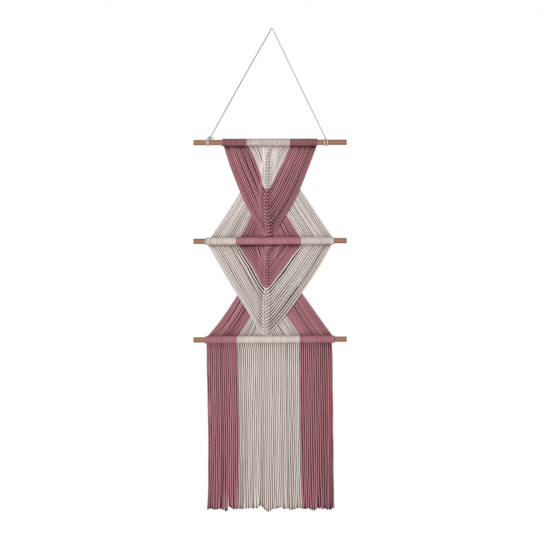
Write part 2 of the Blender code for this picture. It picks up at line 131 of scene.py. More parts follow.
def cordSurface(
    path, half, lay, tone, flat=(0, 1, 0), sides=6, lobe=0.84, phase=0.0, swell=1.0, closed=False, paintedShade=(0, 0)
):
    # A ring round each point of the path, turned a little further each time so that a third of it follows one
    # ply: half = (half width, half depth along flat), lobe = the share of the radius in the grooves. Tone is the
    # cord's own shade, with any painted shade added to it, and more painted shade deepens it on its sides and its
    # front; below zero it paints them lighter instead, as a painted highlight.
    path = np.asarray(path, float)
    if closed:
        steps = np.roll(path, -1, axis=0) - path
        along = unit(steps + np.roll(steps, 1, axis=0))
        run = np.r_[0.0, np.cumsum(np.linalg.norm(steps, axis=1))][:-1]
        whole = run[-1] + np.linalg.norm(steps[-1])
        turns = max(1, round(whole / lay))  # whole turns, so that the plies meet
        twist = turn * turns * run / whole
    else:
        along = unit(np.gradient(path, axis=0))
        run = np.r_[0.0, np.cumsum(np.linalg.norm(np.diff(path, axis=0), axis=1))]
        twist = turn * run / lay
    across = unit(np.cross(np.asarray(flat, float), along))
    depth = np.cross(along, across)
    swells, sideways, forwards = (np.broadcast_to(v, len(path))[:, None] for v in (swell, *paintedShade))
    corner = np.arange(sides)
    angle = turn * corner[None, :] / sides + (twist + phase)[:, None]
    ply = 0.5 + 0.5 * np.cos(plies * turn * corner / sides)  # 1 on a ply, 0 in a groove
    radius = (lobe + (1 - lobe) * ply)[None, :] * swells
    rings = (
        path[:, None, :]
        + across[:, None, :] * (half[0] * radius * np.cos(angle))[..., None]
        + depth[:, None, :] * (half[1] * radius * np.sin(angle))[..., None]
    )
    tones = tone + sideways * np.cos(angle) ** 2 + forwards * np.clip(frontReach - np.sin(angle), 0, 1)
    return gridShell(rings, run, tones, closed)


def gridShell(rings, run, tones, closed=False):
    # Faces between neighbouring rings, with a cap at each open end. UV: once round, and metres along.
    count, sides = rings.shape[:2]
    ring = np.arange(count if closed else count - 1)
    following = (ring + 1) % count
    k = np.arange(sides)
    near, far = (number[:, None] * sides for number in (ring, following))
    nextK = (k + 1) % sides
    quads = stack(near + k, near + nextK, far + nextK, far + k).reshape(-1, 4)
    lastRun = run[-1] + (run[-1] - run[-2])
    v0, v1 = run[ring], np.where(following == 0, lastRun, run[following])
    uv = stack(stack(k, k + 1, k + 1, k) / sides, stack(v0, v0, v1, v1)[:, None, :]).reshape(-1, 2)
    caps, capUv = np.zeros((0, sides), int), np.zeros((0, 2))
    if not closed:
        caps = np.stack([k[::-1], (count - 1) * sides + k])
        capUv = stack(0.5, np.repeat([run[0], run[-1]], sides))
    tone = np.broadcast_to(tones, (count, sides)).ravel()
    return {"points": rings.reshape(-1, 3), "faces": (quads, caps), "uv": (uv, capUv), "tone": tone}


def addPiece(name, shells, material, slot, node):
    # One mesh from many shells: quads first, then each cap, with every corner's UV in the same order.
    offsets = np.cumsum([0] + [len(s["points"]) for s in shells])
    faces = [s["faces"][kind] + o for kind in (0, 1) for s, o in zip(shells, offsets)]
    sizes = np.hstack([np.full(len(part), part.shape[1]) for part in faces])
    uv = np.vstack([s["uv"][kind] for kind in (0, 1) for s in shells])
    mesh = bpy.data.meshes.new(name)
    mesh.vertices.add(offsets[-1])
    mesh.vertices.foreach_set("co", np.vstack([s["points"] for s in shells]).astype(np.float32).ravel())
    mesh.loops.add(len(uv))
    mesh.loops.foreach_set("vertex_index", np.hstack([part.ravel() for part in faces]).astype(np.int32))
    mesh.polygons.add(len(sizes))
    mesh.polygons.foreach_set("loop_start", (np.cumsum(sizes) - sizes).astype(np.int32))
    mesh.polygons.foreach_set("use_smooth", sizes == 4)  # the caps stay flat
    mesh.uv_layers.new(name="cordUv").data.foreach_set("uv", uv.astype(np.float32).ravel())
    # The tone carries each cord's own shade together with the painted shade given to it.
    tone = mesh.attributes.new("tone", "FLOAT", "POINT")
    tone.data.foreach_set("value", np.hstack([s["tone"] for s in shells]).astype(np.float32))
    mesh.update(calc_edges=True)
    mesh.validate()
    mesh.materials.append(material)
    piece = addObject(name, mesh)
    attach(piece, "root")
    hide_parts(node)
    return piece


# Materials

def linear(hexColour):
    # sRGB hex to linear light, opaque
    channels = [int(hexColour[i : i + 2], 16) / 255 for i in (0, 2, 4)]
    return *(c / 12.92 if c <= 0.04045 else ((c + 0.055) / 1.055) ** 2.4 for c in channels), 1.0


def joinUp(node, links):
    # Each link runs from another node's socket, or from its first one, to this node's.
    for key, source in links.items():
        socket = source.outputs[0] if isinstance(source, bpy.types.Node) else source
        node.id_data.links.new(socket, node.inputs[key])


def adjust(node, settings):
    for key, value in settings.items():
        if isinstance(key, int) or key in node.inputs:
            node.inputs[key].default_value = value
        else:
            setattr(node, key, value)


def addNode(tree, kind, settings=None, links=None):
    made = tree.nodes.new("ShaderNode" + kind)
    adjust(made, settings or {})
    joinUp(made, links or {})
    return made


def newMaterial(name, settings):
    # The material, what adds nodes to it, and its shader.
    material = bpy.data.materials.new(name)
    material.use_nodes = True
    shader = material.node_tree.nodes["Principled BSDF"]
    adjust(shader, settings)
    return material, partial(addNode, material.node_tree), shader


cotton = {
    "surface": {
        "Roughness": 0.92,
        "Sheen Weight": 0.08,  # the haze of loose fibres
        "Sheen Roughness": 0.5, "Specular IOR Level": 0.25,
    },
    "fibresRound": 26.0,  # tufts of fibre round a cord, each about 0.35 mm
    "fibresAlong": 260.0,  # a metre, so each streak is about 4 mm long
    "fibreNoise": {"Scale": 1.0, "Detail": 2.0, "Roughness": 0.6}, "fibreShade": 0.18,
    "fibreBump": {"Strength": 0.6, "Distance": 0.00022}, "grooveShade": 0.22,
    "grooveEdge": 0.6,  # where it ends, on a wave from -1 in a groove to 1 on a ply
    "toneShade": 0.16,  # between the palest and the darkest cord
    "paintedShadowTones": (0.3, 2.2),  # where a cord takes on the painted colour of shade in deep gaps
    "patchSize": 0.045,  # of slow changes in the dye
    "patchShade": 0.06,
}


def cottonCord(name, pale, deep, paintedShadowColour):
    # Twisted cotton: matt and soft, with fine fibres along it. Painted shade darkens it between the plies, and a
    # painted shadow colour lies deep between the cords.
    material, add, shader = newMaterial(name, cotton["surface"])
    uv = add("UVMap", {"uv_map": "cordUv"})
    parts = add("SeparateXYZ", links={0: uv})
    around = add("Math", {"operation": "MULTIPLY", 1: plies * turn}, {0: parts})
    wave = add("Math", {"operation": "COSINE"}, {0: around})
    # Painted shade in the grooves between the plies.
    ramp = {"From Min": -1.0, "From Max": cotton["grooveEdge"], "To Min": cotton["grooveShade"], "To Max": 0.0}
    groove = add("MapRange", ramp, {"Value": wave})
    stretch = add("Mapping", {"Scale": (cotton["fibresRound"], cotton["fibresAlong"], 1.0)}, {"Vector": uv})
    fibre = add("TexNoise", cotton["fibreNoise"], {"Vector": stretch})
    place = add("TexCoord").outputs["Object"]
    patch = add("TexNoise", {"Scale": 1 / cotton["patchSize"], "Detail": 1.0}, {"Vector": place})
    cordTone = add("Attribute", {"attribute_name": "tone"}).outputs["Fac"]
    toned = add("Math", {"operation": "MULTIPLY", 1: cotton["toneShade"]}, {0: cordTone})
    patched = add("Math", {"operation": "MULTIPLY_ADD", 1: cotton["patchShade"]}, {0: patch, 2: toned})
    fibred = add("Math", {"operation": "MULTIPLY_ADD", 1: cotton["fibreShade"]}, {0: fibre, 2: patched})
    shade = add("Math", {"operation": "ADD", "use_clamp": True}, {0: fibred, 1: groove})
    colour = add("Mix", {"data_type": "RGBA", 6: linear(pale), 7: linear(deep)}, {0: shade})
    # Where the tone runs high, the colour turns to the painted shadow colour.
    low, high = cotton["paintedShadowTones"]
    inner = add("MapRange", {"From Min": low, "From Max": high}, {"Value": cordTone})
    shaded = add("Mix", {"data_type": "RGBA", 7: linear(paintedShadowColour)}, {0: inner, 6: colour.outputs[2]})
    bump = add("Bump", cotton["fibreBump"], {"Height": fibre})
    joinUp(shader, {"Base Color": shaded.outputs[2], "Normal": bump})
    return material


wood = {
    "pale": "ab8062", "dark": "784c33", "specular": 0.4,
    "grainSize": (0.045, 0.0011),  # along and across the dowel
    "grainNoise": {"Scale": 1.0, "Detail": 4.0, "Distortion": 0.4},
    "grainShade": {"From Min": 0.32, "From Max": 0.7, "To Max": 0.75},
    "poreSize": (0.004, 0.00025), "poreNoise": {"Scale": 1.0, "Detail": 1.0},
    "poreShade": {"From Min": 0.6, "From Max": 0.72, "To Max": 0.35}, "paintedEndShade": 0.6,
    "roughness": {"To Min": 0.42, "To Max": 0.62}, "bump": {"Strength": 0.4, "Distance": 0.0001},
}


def oiledBeech():
    # Oiled beech, turned lengthwise: fine straight grain along the dowel with short dark pores, and a low sheen.
    material, add, shader = newMaterial("oiledBeech", {"Specular IOR Level": wood["specular"]})
    place = add("TexCoord").outputs["Object"]
    noises = []
    for kind in ("grain", "pore"):
        length, width = wood[f"{kind}Size"]
        stretch = add("Mapping", {"Scale": (1 / length, 1 / width, 1 / width)}, {"Vector": place})
        noises.append(add("TexNoise", wood[f"{kind}Noise"], {"Vector": stretch}))
    grain, pore = noises
    pores = add("MapRange", wood["poreShade"], {"Value": pore})
    spread = add("MapRange", wood["grainShade"], {"Value": grain})
    ends = add("Attribute", {"attribute_name": "tone"}).outputs["Fac"]  # painted shade at the dowel's ends
    deeper = add("Math", {"operation": "MULTIPLY_ADD", 1: wood["paintedEndShade"]}, {0: ends, 2: pores})
    shade = add("Math", {"operation": "ADD", "use_clamp": True}, {0: spread, 1: deeper})
    colour = add("Mix", {"data_type": "RGBA", 6: linear(wood["pale"]), 7: linear(wood["dark"])}, {0: shade})
    rough = add("MapRange", wood["roughness"], {"Value": grain})
    bump = add("Bump", wood["bump"], {"Height": shade})
    joinUp(shader, {"Base Color": colour.outputs[2], "Roughness": rough, "Normal": bump})
    return material


# Each cotton's palest and darkest colour, and its painted shadow colour.
cottons = {  # with their slots
    "cream": (cottonCord("creamTwistedCotton", "f4ece9", "bda898", "6a5543"), "cream_cotton"),
    "pink": (cottonCord("pinkTwistedCotton", "d0929c", "7b343c", "300d14"), "pink_cotton"),
}
whiteCotton = cottonCord("whiteTwistedCotton", "e2dddd", "929090", "666364"), "white_cotton"
beech = oiledBeech()
print("materials made")


def measureDowel(node):
    # A dowel's ends, radius and slightly tilted axis, from its box in the frame.
    low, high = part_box(node)
    return {
        "left": low.x,
        "right": high.x,
        "middleX": (low.x + high.x) / 2,
        "height": (low.z + high.z) / 2,
        "rise": ((high.z - low.z) - (high.y - low.y)) / (high.x - low.x),
        "radius": (high.y - low.y) / 2,
    }


def barAxis(bar, x):
    # The height of its axis at x.
    return bar["height"] + bar["rise"] * (x - bar["middleX"])


# The hanging cord comes first: taut from the left knot over its bend to the right turns.
hanger = {
    "radius": 0.00125, "lay": 0.0088, "step": 0.0007, "section": {"sides": 12, "lobe": 0.92},
    "declaredEvery": 8,  # points of the line
    "route": (  # X and Z
        (-0.1345, -0.2363), (-0.1131, -0.1978), (-0.0917, -0.1593), (-0.0703, -0.1208), (-0.0485, -0.0823),
        (-0.0269, -0.0438), (-0.0143, -0.0221), (-0.008, -0.0113), (-0.0042, -0.005), (-0.0022, -0.0008),
        (0.0000, 0.00125),
        (0.002, -0.0008), (0.0036, -0.005), (0.0064, -0.0113), (0.0117, -0.0225), (0.0251, -0.0493),
        (0.0433, -0.0874), (0.0617, -0.1255), (0.0803, -0.1636), (0.099, -0.2017), (0.1177, -0.2399),
    ),
}
topDowel = measureDowel("dowel_top")
# Arcs are from angle, to angle, points; angles round the dowel are 0 on top and grow towards the back.
knots = {
    "loopRadius": topDowel["radius"] + 0.00155, "loopsAt": (-0.1414, -0.1442),
    "loops": ((-0.35, 0.15 - turn, 14), (-0.15 - turn, 0.45 - 2 * turn, 14)),
    "overlap": 0.0003,  # of the tied cord with the free one
    "knotCentre": (-0.1378, 0.0, -0.2421),
    "entry": 0.0012,  # before its centre
    "inside": (-0.0008, -0.0012, -0.001),  # and past it
    "knotRadius": 0.0029,  # of the cord's turns round itself
    "knotLength": 0.0048, "winds": (-0.4 * math.pi, 3.9 * math.pi, 20),
    "hitch": (0, 1.55 * math.pi, 9),  # the turn that locks it
    "hitchSize": (1.1, 1.15),  # along the cord and in depth, in knot radii
    "tail": ((0.0036, -0.0014, -0.0002), (0.0062, -0.0018, -0.001), (0.0078, -0.0016, -0.0016)),
    "tailSwell": 1.9,  # its end is frayed
    "turns": (0.3, 2 * turn - 0.45, 36),
    "turnPlaces": {0.0: 0.1199, 0.45: 0.1169, 1.05: 0.1169, 1.45: 0.1234, 2.0: 0.1234},  # X after so many turns
    "crossing": (1.25, 0.12, 0.002),  # its middle and reach in turns, and how far it stands off
    # The knot is painted darker, as it lies in shade, and the free cord's left leg darker than its right.
    "tone": {"free": (1.2, 0.65), "knot": 0.9, "tied": -0.1},  # painted shade: the free cord is seen against the light
    "sides": 9, "lay": 0.0088, "step": 0.0008, "endSize": 0.7,
    "flat": (0.24, 0.92, 0.31),  # a direction that no part of it follows
}


def thinCord(points, frayed=1.0, part="tied"):
    # Smaller at both ends, and swelling towards a frayed one.
    line = smoothLine(points, knots["step"])
    half = (hanger["radius"],) * 2
    swell = 1 + (frayed - 1) * np.linspace(0, 1, len(line)) ** 6
    swell[[0, -1]] *= knots["endSize"]
    return cordSurface(line, half, knots["lay"], knots["tone"][part], knots["flat"], knots["sides"], swell=swell)


def aroundDowel(x, arc):
    # Points of a circle round the dowel's axis at x.
    angles, radius = np.linspace(*arc), knots["loopRadius"]
    return stack(x, radius * np.sin(angles), topDowel["height"] + radius * np.cos(angles))


def makeHangingCord():
    line = smoothLine([(x, 0.0, z) for x, z in hanger["route"]], hanger["step"])
    half = (hanger["radius"],) * 2
    tone = np.where(line[:, :1] < 0, *knots["tone"]["free"])
    shell = cordSurface(line, half, hanger["lay"], tone, **hanger["section"])
    return addPiece("hangingCord", [shell], *whiteCotton, "hanging_cord"), line


def makeLeftKnot():
    # Down the cord's own line, twice round the dowel, twice round itself and out to a short tail.
    centre, reach = np.array(knots["knotCentre"]), knots["knotRadius"]
    end, after = (np.array((x, 0.0, z)) for x, z in hanger["route"][:2])
    way = unit(after - end)
    across = np.array((-way[2], 0.0, way[0]))
    back = np.array((0.0, 1.0, 0.0))
    down = [end - way * knots["overlap"], centre + way * knots["entry"], centre + knots["inside"]]
    loops = np.vstack([aroundDowel(x, arc) for x, arc in zip(knots["loopsAt"], knots["loops"])])
    angles = np.linspace(*knots["winds"])[:, None]
    wind = centre + across * reach * np.cos(angles) + back * reach * np.sin(angles)
    wind = wind + way * knots["knotLength"] * np.linspace(-0.5, 0.5, len(wind))[:, None]
    tail = centre + np.array(knots["tail"])
    turned = np.linspace(*knots["hitch"])[:, None]
    long, deep = knots["hitchSize"]
    hitch = centre + way * long * reach * np.cos(turned) + back * deep * reach * np.sin(turned)
    shells = [
        thinCord(np.vstack([down, loops])),
        thinCord(np.vstack([loops[-1:], wind, tail]), knots["tailSwell"], "knot"),
        thinCord(hitch, part="knot"),
    ]
    return addPiece("leftKnot", shells, *whiteCotton, "cord_knot_left")


def makeRightTurns():
    # Twice round the dowel, over its own first turn on the back, with its end tucked in on top.
    before, end = (np.array((x, 0.0, z)) for x, z in hanger["route"][-2:])
    path = aroundDowel(0.0, knots["turns"])
    turns = np.linspace(*knots["turns"]) / turn
    path[:, 0] = np.interp(turns, list(knots["turnPlaces"]), list(knots["turnPlaces"].values()))
    middle, reach, lift = knots["crossing"]
    path[:, 1] += lift * np.exp(-(((turns - middle) / reach) ** 2))
    path = np.vstack([[end + unit(end - before) * knots["overlap"]], path])
    return addPiece("rightTurns", [thinCord(path)], *whiteCotton, "cord_turns_right")


cordPiece, cordLine = makeHangingCord()
leftKnot = makeLeftKnot()
rightTurns = makeRightTurns()
cordLength = float(np.linalg.norm(np.diff(cordLine, axis=0), axis=1).sum())
tuple(cordLine[0])
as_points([tuple(p) for p in cordLine[:: hanger["declaredEvery"]]] + [tuple(cordLine[-1])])
print(f"hanging cord made, {cordLength:.3f} m")


# Dowels
dowel = {
    "sides": 48, "chamfer": 0.0007, "step": 0.01, "unevenness": 0.00004,
    "waves": (190.0, 61.0),  # of the unevenness, in radians a metre
    "endReach": 0.0022, "paintedEndTone": 1.0,
}


def makeDowel(name, node):
    # A round bar along its own axis: rings of one radius, smaller at the bevelled ends.
    measured = measureDowel(node)
    length = measured["right"] - measured["left"]
    chamfer, endReach = dowel["chamfer"], dowel["endReach"]
    inner = np.arange(endReach, length - endReach / 2, dowel["step"])
    along = np.sort(np.r_[0.0, chamfer, inner, length - endReach, length - chamfer, length])
    quick, slow = dowel["waves"]
    size = measured["radius"] + dowel["unevenness"] * np.sin(along * quick) * np.sin(along * slow)
    size[[0, -1]] = measured["radius"] - chamfer
    angle = turn * np.arange(dowel["sides"]) / dowel["sides"]
    x, size = (measured["left"] + along)[:, None], size[:, None]
    rings = stack(x, -size * np.cos(angle), barAxis(measured, x) + size * np.sin(angle))
    # Painted shade on the rings at each end.
    tones = np.zeros((len(along), 1))
    tones[[0, 1, -2, -1]] = dowel["paintedEndTone"]
    return addPiece(name, [gridShell(rings[:, ::-1], along, tones)], beech, "wood", node)


for place in ("top", "middle", "bottom"):
    makeDowel(f"{place}Dowel", f"dowel_{place}")
print("dowels made")


# Bars: wraps round the dowels. Cords are numbered from the left, and each bar has three runs of colour.
bars = {
    "top": {
        "edges": (-0.1085, -0.0562, 0.04, 0.0975), "ends": (-0.1112, 0.1002), "wrapsACord": 1,
        "deeper": {"pink": 1.05, "cream": 0.85},  # painted shade on the wraps; the top bar's is the deepest
    },
    "middle": {
        "edges": (-0.1425, -0.08, 0.0644, 0.1335), "ends": (-0.1478, 0.1384), "wrapsACord": 2,
        "deeper": {"pink": 0.48, "cream": 0.68},
    },
    "bottom": {
        "edges": (-0.1462, -0.0782, 0.0618, 0.1348), "ends": (-0.149, 0.1384), "wrapsACord": 2,
        "deeper": {"pink": 0.6, "cream": 0.62},
    },
}
cordsInRun = (16, 32, 16)
toneSpread = (-0.5, 0.5)  # from cord to cord
wraps = {
    "depth": 0.0014,  # half of a wrap's thickness
    "width": 0.62,  # half of it along the dowel, as a share of the pitch
    "sink": 0.0001,
    "rootHeight": 0.0064,  # from the dowel's axis to where strands start
    "rings": 24, "lay": 0.0095, "lobe": 0.88, "slant": 0.0005, "looseness": 0.00012,
    "toneShare": 0.25,  # the wraps are more even than the strands
    "collarPitch": 0.0026, "collarWidth": 0.55, "collarLift": 0.0001,
}
crossings = {  # on the back
    "half": (0.0011, 0.0011),
    "reach": 0.9,  # along the dowel, as a share of the wraps' pitch
    "arc": (1.25, 2.15, 7), "lift": 0.0003,
    "dip": 0.0016,  # of the ends, between the wraps
    "rings": 10, "section": {"lobe": 0.86, "flat": (1, 0.2, 0)},
}


def evenCords(edges, perRun):
    # Evenly spaced cords in each run of colour, with twice as many in the middle one.
    runs = zip(edges, edges[1:], (perRun, 2 * perRun, perRun))
    return np.concatenate([a + (b - a) * (np.arange(n) + 0.5) / n for a, b, n in runs])


for level, bar in bars.items():
    bar.update(measureDowel(f"dowel_{level}"), cords=evenCords(bar["edges"], cordsInRun[0]))

cordTones = random.uniform(*toneSpread, sum(cordsInRun))


def wrapLoop(bar, x, halfWidth, tone, lift=0.0):
    # A closed loop round the dowel, leaning a little along it from top to bottom.
    angle = turn * np.arange(wraps["rings"]) / wraps["rings"]
    loose = random.normal(0, wraps["looseness"], 3)
    radius = bar["radius"] + wraps["depth"] - wraps["sink"] + lift + abs(loose[0])
    lean = wraps["slant"] * np.cos(angle)
    path = stack(
        x + loose[1] + lean + loose[2] * np.sin(2 * angle),
        radius * np.sin(angle),
        barAxis(bar, x) + radius * np.cos(angle),
    )
    half, phase = (wraps["depth"], halfWidth), random.uniform(0, turn)
    return cordSurface(path, half, wraps["lay"], tone, (1, 0, 0), lobe=wraps["lobe"], phase=phase, closed=True)


def crossingAt(bar, x, reach, tone):
    # On the back of each cord's two wraps its crossing lies over them, slanting.
    angle = np.linspace(*crossings["arc"])
    share = np.linspace(-1, 1, len(angle))
    radius = bar["radius"] + 2 * wraps["depth"] + crossings["lift"] - crossings["dip"] * np.abs(share) ** 3
    path = stack(x + reach * share, radius * np.sin(angle), barAxis(bar, x) + radius * np.cos(angle))
    line = smoothLine(path, count=crossings["rings"])
    return cordSurface(line, crossings["half"], wraps["lay"], tone, **crossings["section"])


def barShells(bar, outerColour, middleColour):
    # The shells of each colour run, with the collars added to the outer ones.
    first, runs, single = 0, [], bar["wrapsACord"] == 1
    colours = (outerColour, middleColour, outerColour)
    for start, end, count, colour in zip(bar["edges"], bar["edges"][1:], cordsInRun, colours):
        pitch = (end - start) / count
        wrapPitch, shells = pitch / bar["wrapsACord"], []
        for i in range(count):
            x, tone = bar["cords"][first + i], cordTones[first + i]
            wrapTone = tone * wraps["toneShare"] + bar["deeper"][colour]
            for j in range(bar["wrapsACord"]):
                shift = (j - (bar["wrapsACord"] - 1) / 2) * wrapPitch
                shells.append(wrapLoop(bar, x + shift, wrapPitch * wraps["width"], wrapTone))
            if not single or i % 2 == 0:
                aside = pitch / 2 if single else 0
                shells.append(crossingAt(bar, x + aside, wrapPitch * crossings["reach"], tone))
        first += count
        runs.append(shells)
    for end in (0, -1):
        start, tone = bar["edges"][end], cordTones[end]
        width = bar["ends"][end] - start
        count = max(1, round(abs(width) / wraps["collarPitch"]))
        half = abs(width) / count * wraps["collarWidth"]
        for i in range(count):
            tone = tone * wraps["toneShare"] + bar["deeper"][outerColour]
            runs[end].append(wrapLoop(bar, start + width * (i + 0.5) / count, half, tone, wraps["collarLift"]))
    return runs


for level, outer, middle in (("top", "pink", "cream"), ("middle", "cream", "pink")):
    left, centre, right = barShells(bars[level], outer, middle)
    runs = {outer: left + right, middle: centre}
    for colour in ("cream", "pink"):
        addPiece(f"{level}Bar{colour.title()}", runs[colour], *cottons[colour], f"{colour}_net")
bottomRuns = barShells(bars["bottom"], "pink", "cream")
for side, shells, colour in zip(("Left", "Centre", "Right"), bottomRuns, ("pink", "cream", "pink")):
    addPiece(f"bottomBar{side}", shells, *cottons[colour], f"fringe_{side.lower()}")
print("bars wrapped")


# Knotted columns, and the sheets of strands that run into their front and out of their back.
knotCount = 14  # of each colour in a column, as many as its strands on one side
columns = {
    "upper": {
        "top": -0.2622, "change": -0.3555, "foot": -0.46,
        "bends": ((-0.455, -0.0062), (-0.416, -0.0084), (-0.391, -0.01), (-0.336, -0.0103), (-0.262, -0.0064)),
    },
    "lower": {
        "top": -0.4818, "change": -0.5733, "foot": -0.678,
        "bends": ((-0.669, -0.0132), (-0.613, -0.0126), (-0.57, -0.0113), (-0.524, -0.0092), (-0.484, -0.0074)),
    },
}
knotted = {
    "halfWidth": 0.0078, "head": (0.62, 0.75, 0.9), "foot": (0.98, 0.95),
    "change": (0.9, 0.75, 0.65, 0.85),  # where the colours change
    "knot": 0.0017,  # half thickness of its cords
    "knotThinning": 0.3,  # where the column is narrow
    "knotUneven": 0.0002, "knotRings": 9,
    "knotSides": 0.9,  # painted shade on their sides
    "knotPaintedShade": 1.2,  # on the ends of its loops
    # A painted highlight on the knots' proud fronts, and painted shade on the fillers' sides and fronts.
    "knotFront": -0.8, "fillerSides": 0.3, "fillerPaintedShade": {"cream": 1.15, "pink": 1.8},
    "proud": 0.0044,  # how far their middle stands out
    "sunk": 0.0022,
    "strandEnds": {-1: 0.94, 1: 0.58},  # how far in the strands show, in half widths
    "fillers": (0.0074, 0.0013),  # half width and half depth
    "fillerSection": {"lay": 1e3, "sides": 10, "lobe": 1.0},  # round and untwisted
    "fillerEnds": (0.005, 0.0068),  # how far they run on into the bars
    "fillerSwell": (0.92, 1.15),  # at the head and the foot
}
strand = {
    "half": (0.00165, 0.00165), "lay": 0.0135, "step": 0.0017,
    "depth": {"front": -0.0022, "back": 0.0026},
    # Painted shade on a first cord: on its sides, on its front (a painted highlight where below zero), next to a
    # bar, and as a painted shadow right below its wraps.
    "sidePaintedShade": (0.7, 1.5),  # away from the column, and how much more beside it
    "frontDusk": (-0.2, -0.7),
    "barPaintedShade": 0.8,  # more of it next to a bar
    "barShadow": 1.5,  # right below its wraps
    "barPinch": 0.34,  # cords are squeezed where they leave it
    "outerTone": 0.5,  # on the outermost cords of a front sheet
    "outerReach": 2.0,  # in cords
    "lobe": 0.89,
    "stagger": 0.0002,  # crowded cords lie before and behind each other
    "wander": 0.0007,
    "wanderTurns": (1.3, 0.9),  # over a cord's length, sideways and in depth
    "wanderPitch": 0.055,  # turns from one cord to the next
    "scatter": 0.00022,  # of a cord from its even place
    "unevenDepth": 0.0003, "controlSpacing": 0.022, "mostControls": 12,
    "kneeLength": 0.0075,  # where a cord turns towards its knot
    "flatten": 0.42,
    "leastFlatten": 0.3,  # of it, on the cords that don't sag
    "bendPower": 3.2,  # the outer cords of a front sheet sag most
    "sagTilt": 0.3,  # a bow is fuller in its far half
    "pushPower": 0.8,
}
# The second cords lie behind the first ones' gaps, in their shade, which is painted on them.
second = {
    "half": (0.0019, 0.00135), "depth": {"front": 0.0006, "back": 0.0052}, "sidePaintedShade": (0.3, 0.2),
    "frontDusk": (1.0, 2.3), "barPaintedShade": 3.2, "barShadow": 2.0,
    "partingPaintedShade": 2.6,  # behind a parting of this width
    "partingWidth": 0.002,
    "partingReach": 0.4,  # in cords
    "partingFade": (0.4, 1.1),  # from the start of a cord to its end
    # Less painted shade on the outermost second cords, which get light from outside.
    "outerTone": -0.9,
    "bands": 0.9,  # how much their painted shade comes and goes across a sheet
    "bandStep": 0.85,  # radians from one cord to the next
}
# How the first and the second cords meet their knots. Room keeps their bends clear of the bar.
joints = {
    "proud": (0.0012, 0.0),  # a first cord lies further forward there
    "near": 0.0042, "room": (0.0106, 0.0103), "beyond": (0.0022, 0.0034), "dive": (0.0024, 0.0),
    "backReach": 0.0012,  # past the knot
    "backDrop": 0.003,  # below its middle
    "backRoom": (0.0108, 0.0104),
    "backInner": 0.55,  # of the knot's half width
}
# How far painted shade reaches from the column and from a bar, and the painted shadow right below a bar.
paintedShadeReach = {"column": 0.026, "bar": 0.0055, "shadow": 0.0028}
creamBeside = 0.9  # of the painted shade beside the column, on cream cords
paintedShadeShare = {"cream": 0.55, "pink": 1.0}  # as pale cotton throws light back
behindShare = 0.5  # of the painted shade on back cords, next to the bar below
# Roots are where the runs of colour leave or reach the bar. For the left and the right side, sag bows the outer
# cords outwards, bulge the middle ones inwards, and tone deepens them all. Partings are where neighbours part:
# row, width of the gap, how many rows it pushes aside, and the second cords' share of it.
sheets = {
    "upperFront": {
        "bar": "top", "roots": (-0.1112, -0.0562, 0.0445, 0.1042), "sag": (0.01, 0.0085),
        "bulge": (0.0058, 0.0), "tone": (0.12, 0.08),
        "partings": (
            [(8.5, 0.0012, 2.0, 0.2), (15.5, 0.0019, 1.0, 0.3), (18.5, 0.0025, 1.0, 0.5), (21.5, 0.0025, 1.2, 0.5)],
            [(10.5, 0.001, 2.0, 0.2), (17.5, 0.0008, 1.0, 0.2), (20.5, 0.0014, 1.2, 0.3), (24.5, 0.0014, 1.2, 0.3)],
        ),
    },
    "upperBack": {
        "bar": "middle", "roots": (-0.1437, -0.0765, 0.069, 0.1413), "sag": (-0.0036, -0.0006),
        "bulge": (0, 0), "tone": (0.1, -0.15),
        "partings": (
            [(3.5, 0.0008, 1.5, 0.2), (6.5, 0.0011, 1.5, 0.2), (8.5, 0.0009, 1.0, 0.2), (9.5, 0.0009, 1.5, 0.2),
             (12.5, 0.0009, 1.0, 0.2), (18.5, 0.0012, 2.0, 0.2)],
            [(5.5, 0.0014, 1.5, 0.2), (7.5, 0.001, 1.0, 0.2), (9.5, 0.0009, 1.0, 0.2), (10.5, 0.0014, 1.0, 0.2),
             (11.5, 0.0012, 1.0, 0.2), (12.5, 0.0012, 1.0, 0.2), (19.5, 0.0012, 2.0, 0.2)],
        ),
    },
    "lowerFront": {
        "bar": "middle", "roots": (-0.1488, -0.078, 0.0725, 0.1395), "sag": (0.0006, 0.0082),
        "bulge": (0, 0), "tone": (0.1, -0.1),
        "partings": (
            [(5.5, 0.0012, 2.0, 0.2), (14.5, 0.0026, 0.9, 0.3), (15.5, 0.002, 0.9, 0.3), (17.5, 0.0014, 1.0, 0.2),
             (23.5, 0.001, 2.0, 0.2)],
            [(6.5, 0.0012, 2.0, 0.2), (14.5, 0.003, 0.9, 0.3), (19.5, 0.002, 1.0, 0.2), (20.5, 0.0016, 1.0, 0.2),
             (24.5, 0.0032, 0.8, 0.1), (25.5, 0.0024, 0.7, 0.1), (26.5, 0.003, 0.7, 0.1)],
        ),
    },
    "lowerBack": {
        "bar": "bottom", "roots": (-0.15, -0.0812, 0.0687, 0.1418), "sag": (-0.0086, -0.0036),
        "bulge": (0, 0), "tone": (0.25, 0.0),
        "partings": (
            [(3.5, 0.003, 1.5, 0.2), (6.5, 0.0028, 1.0, 0.2), (8.5, 0.003, 1.0, 0.2), (19.5, 0.0012, 2.0, 0.2)],
            [(5.5, 0.0005, 2.0, 0.2), (10.5, 0.0006, 2.0, 0.2), (20.5, 0.0012, 2.0, 0.2)],
        ),
    },
}
rowNumbers = np.arange(2 * knotCount)
lastRow = rowNumbers[-1]
netTones = random.uniform(*toneSpread, 4 * knotCount)
wanderPhases = {name: random.random((2, 2)) for name in sheets}


def columnRows(column):
    # The middle height of each knot, evenly from top to change and from change to foot.
    share = (np.arange(knotCount) + 0.5) / knotCount
    upper = column["top"] + (column["change"] - column["top"]) * share
    lower = column["change"] + (column["foot"] - column["change"]) * share
    return np.r_[upper, lower]


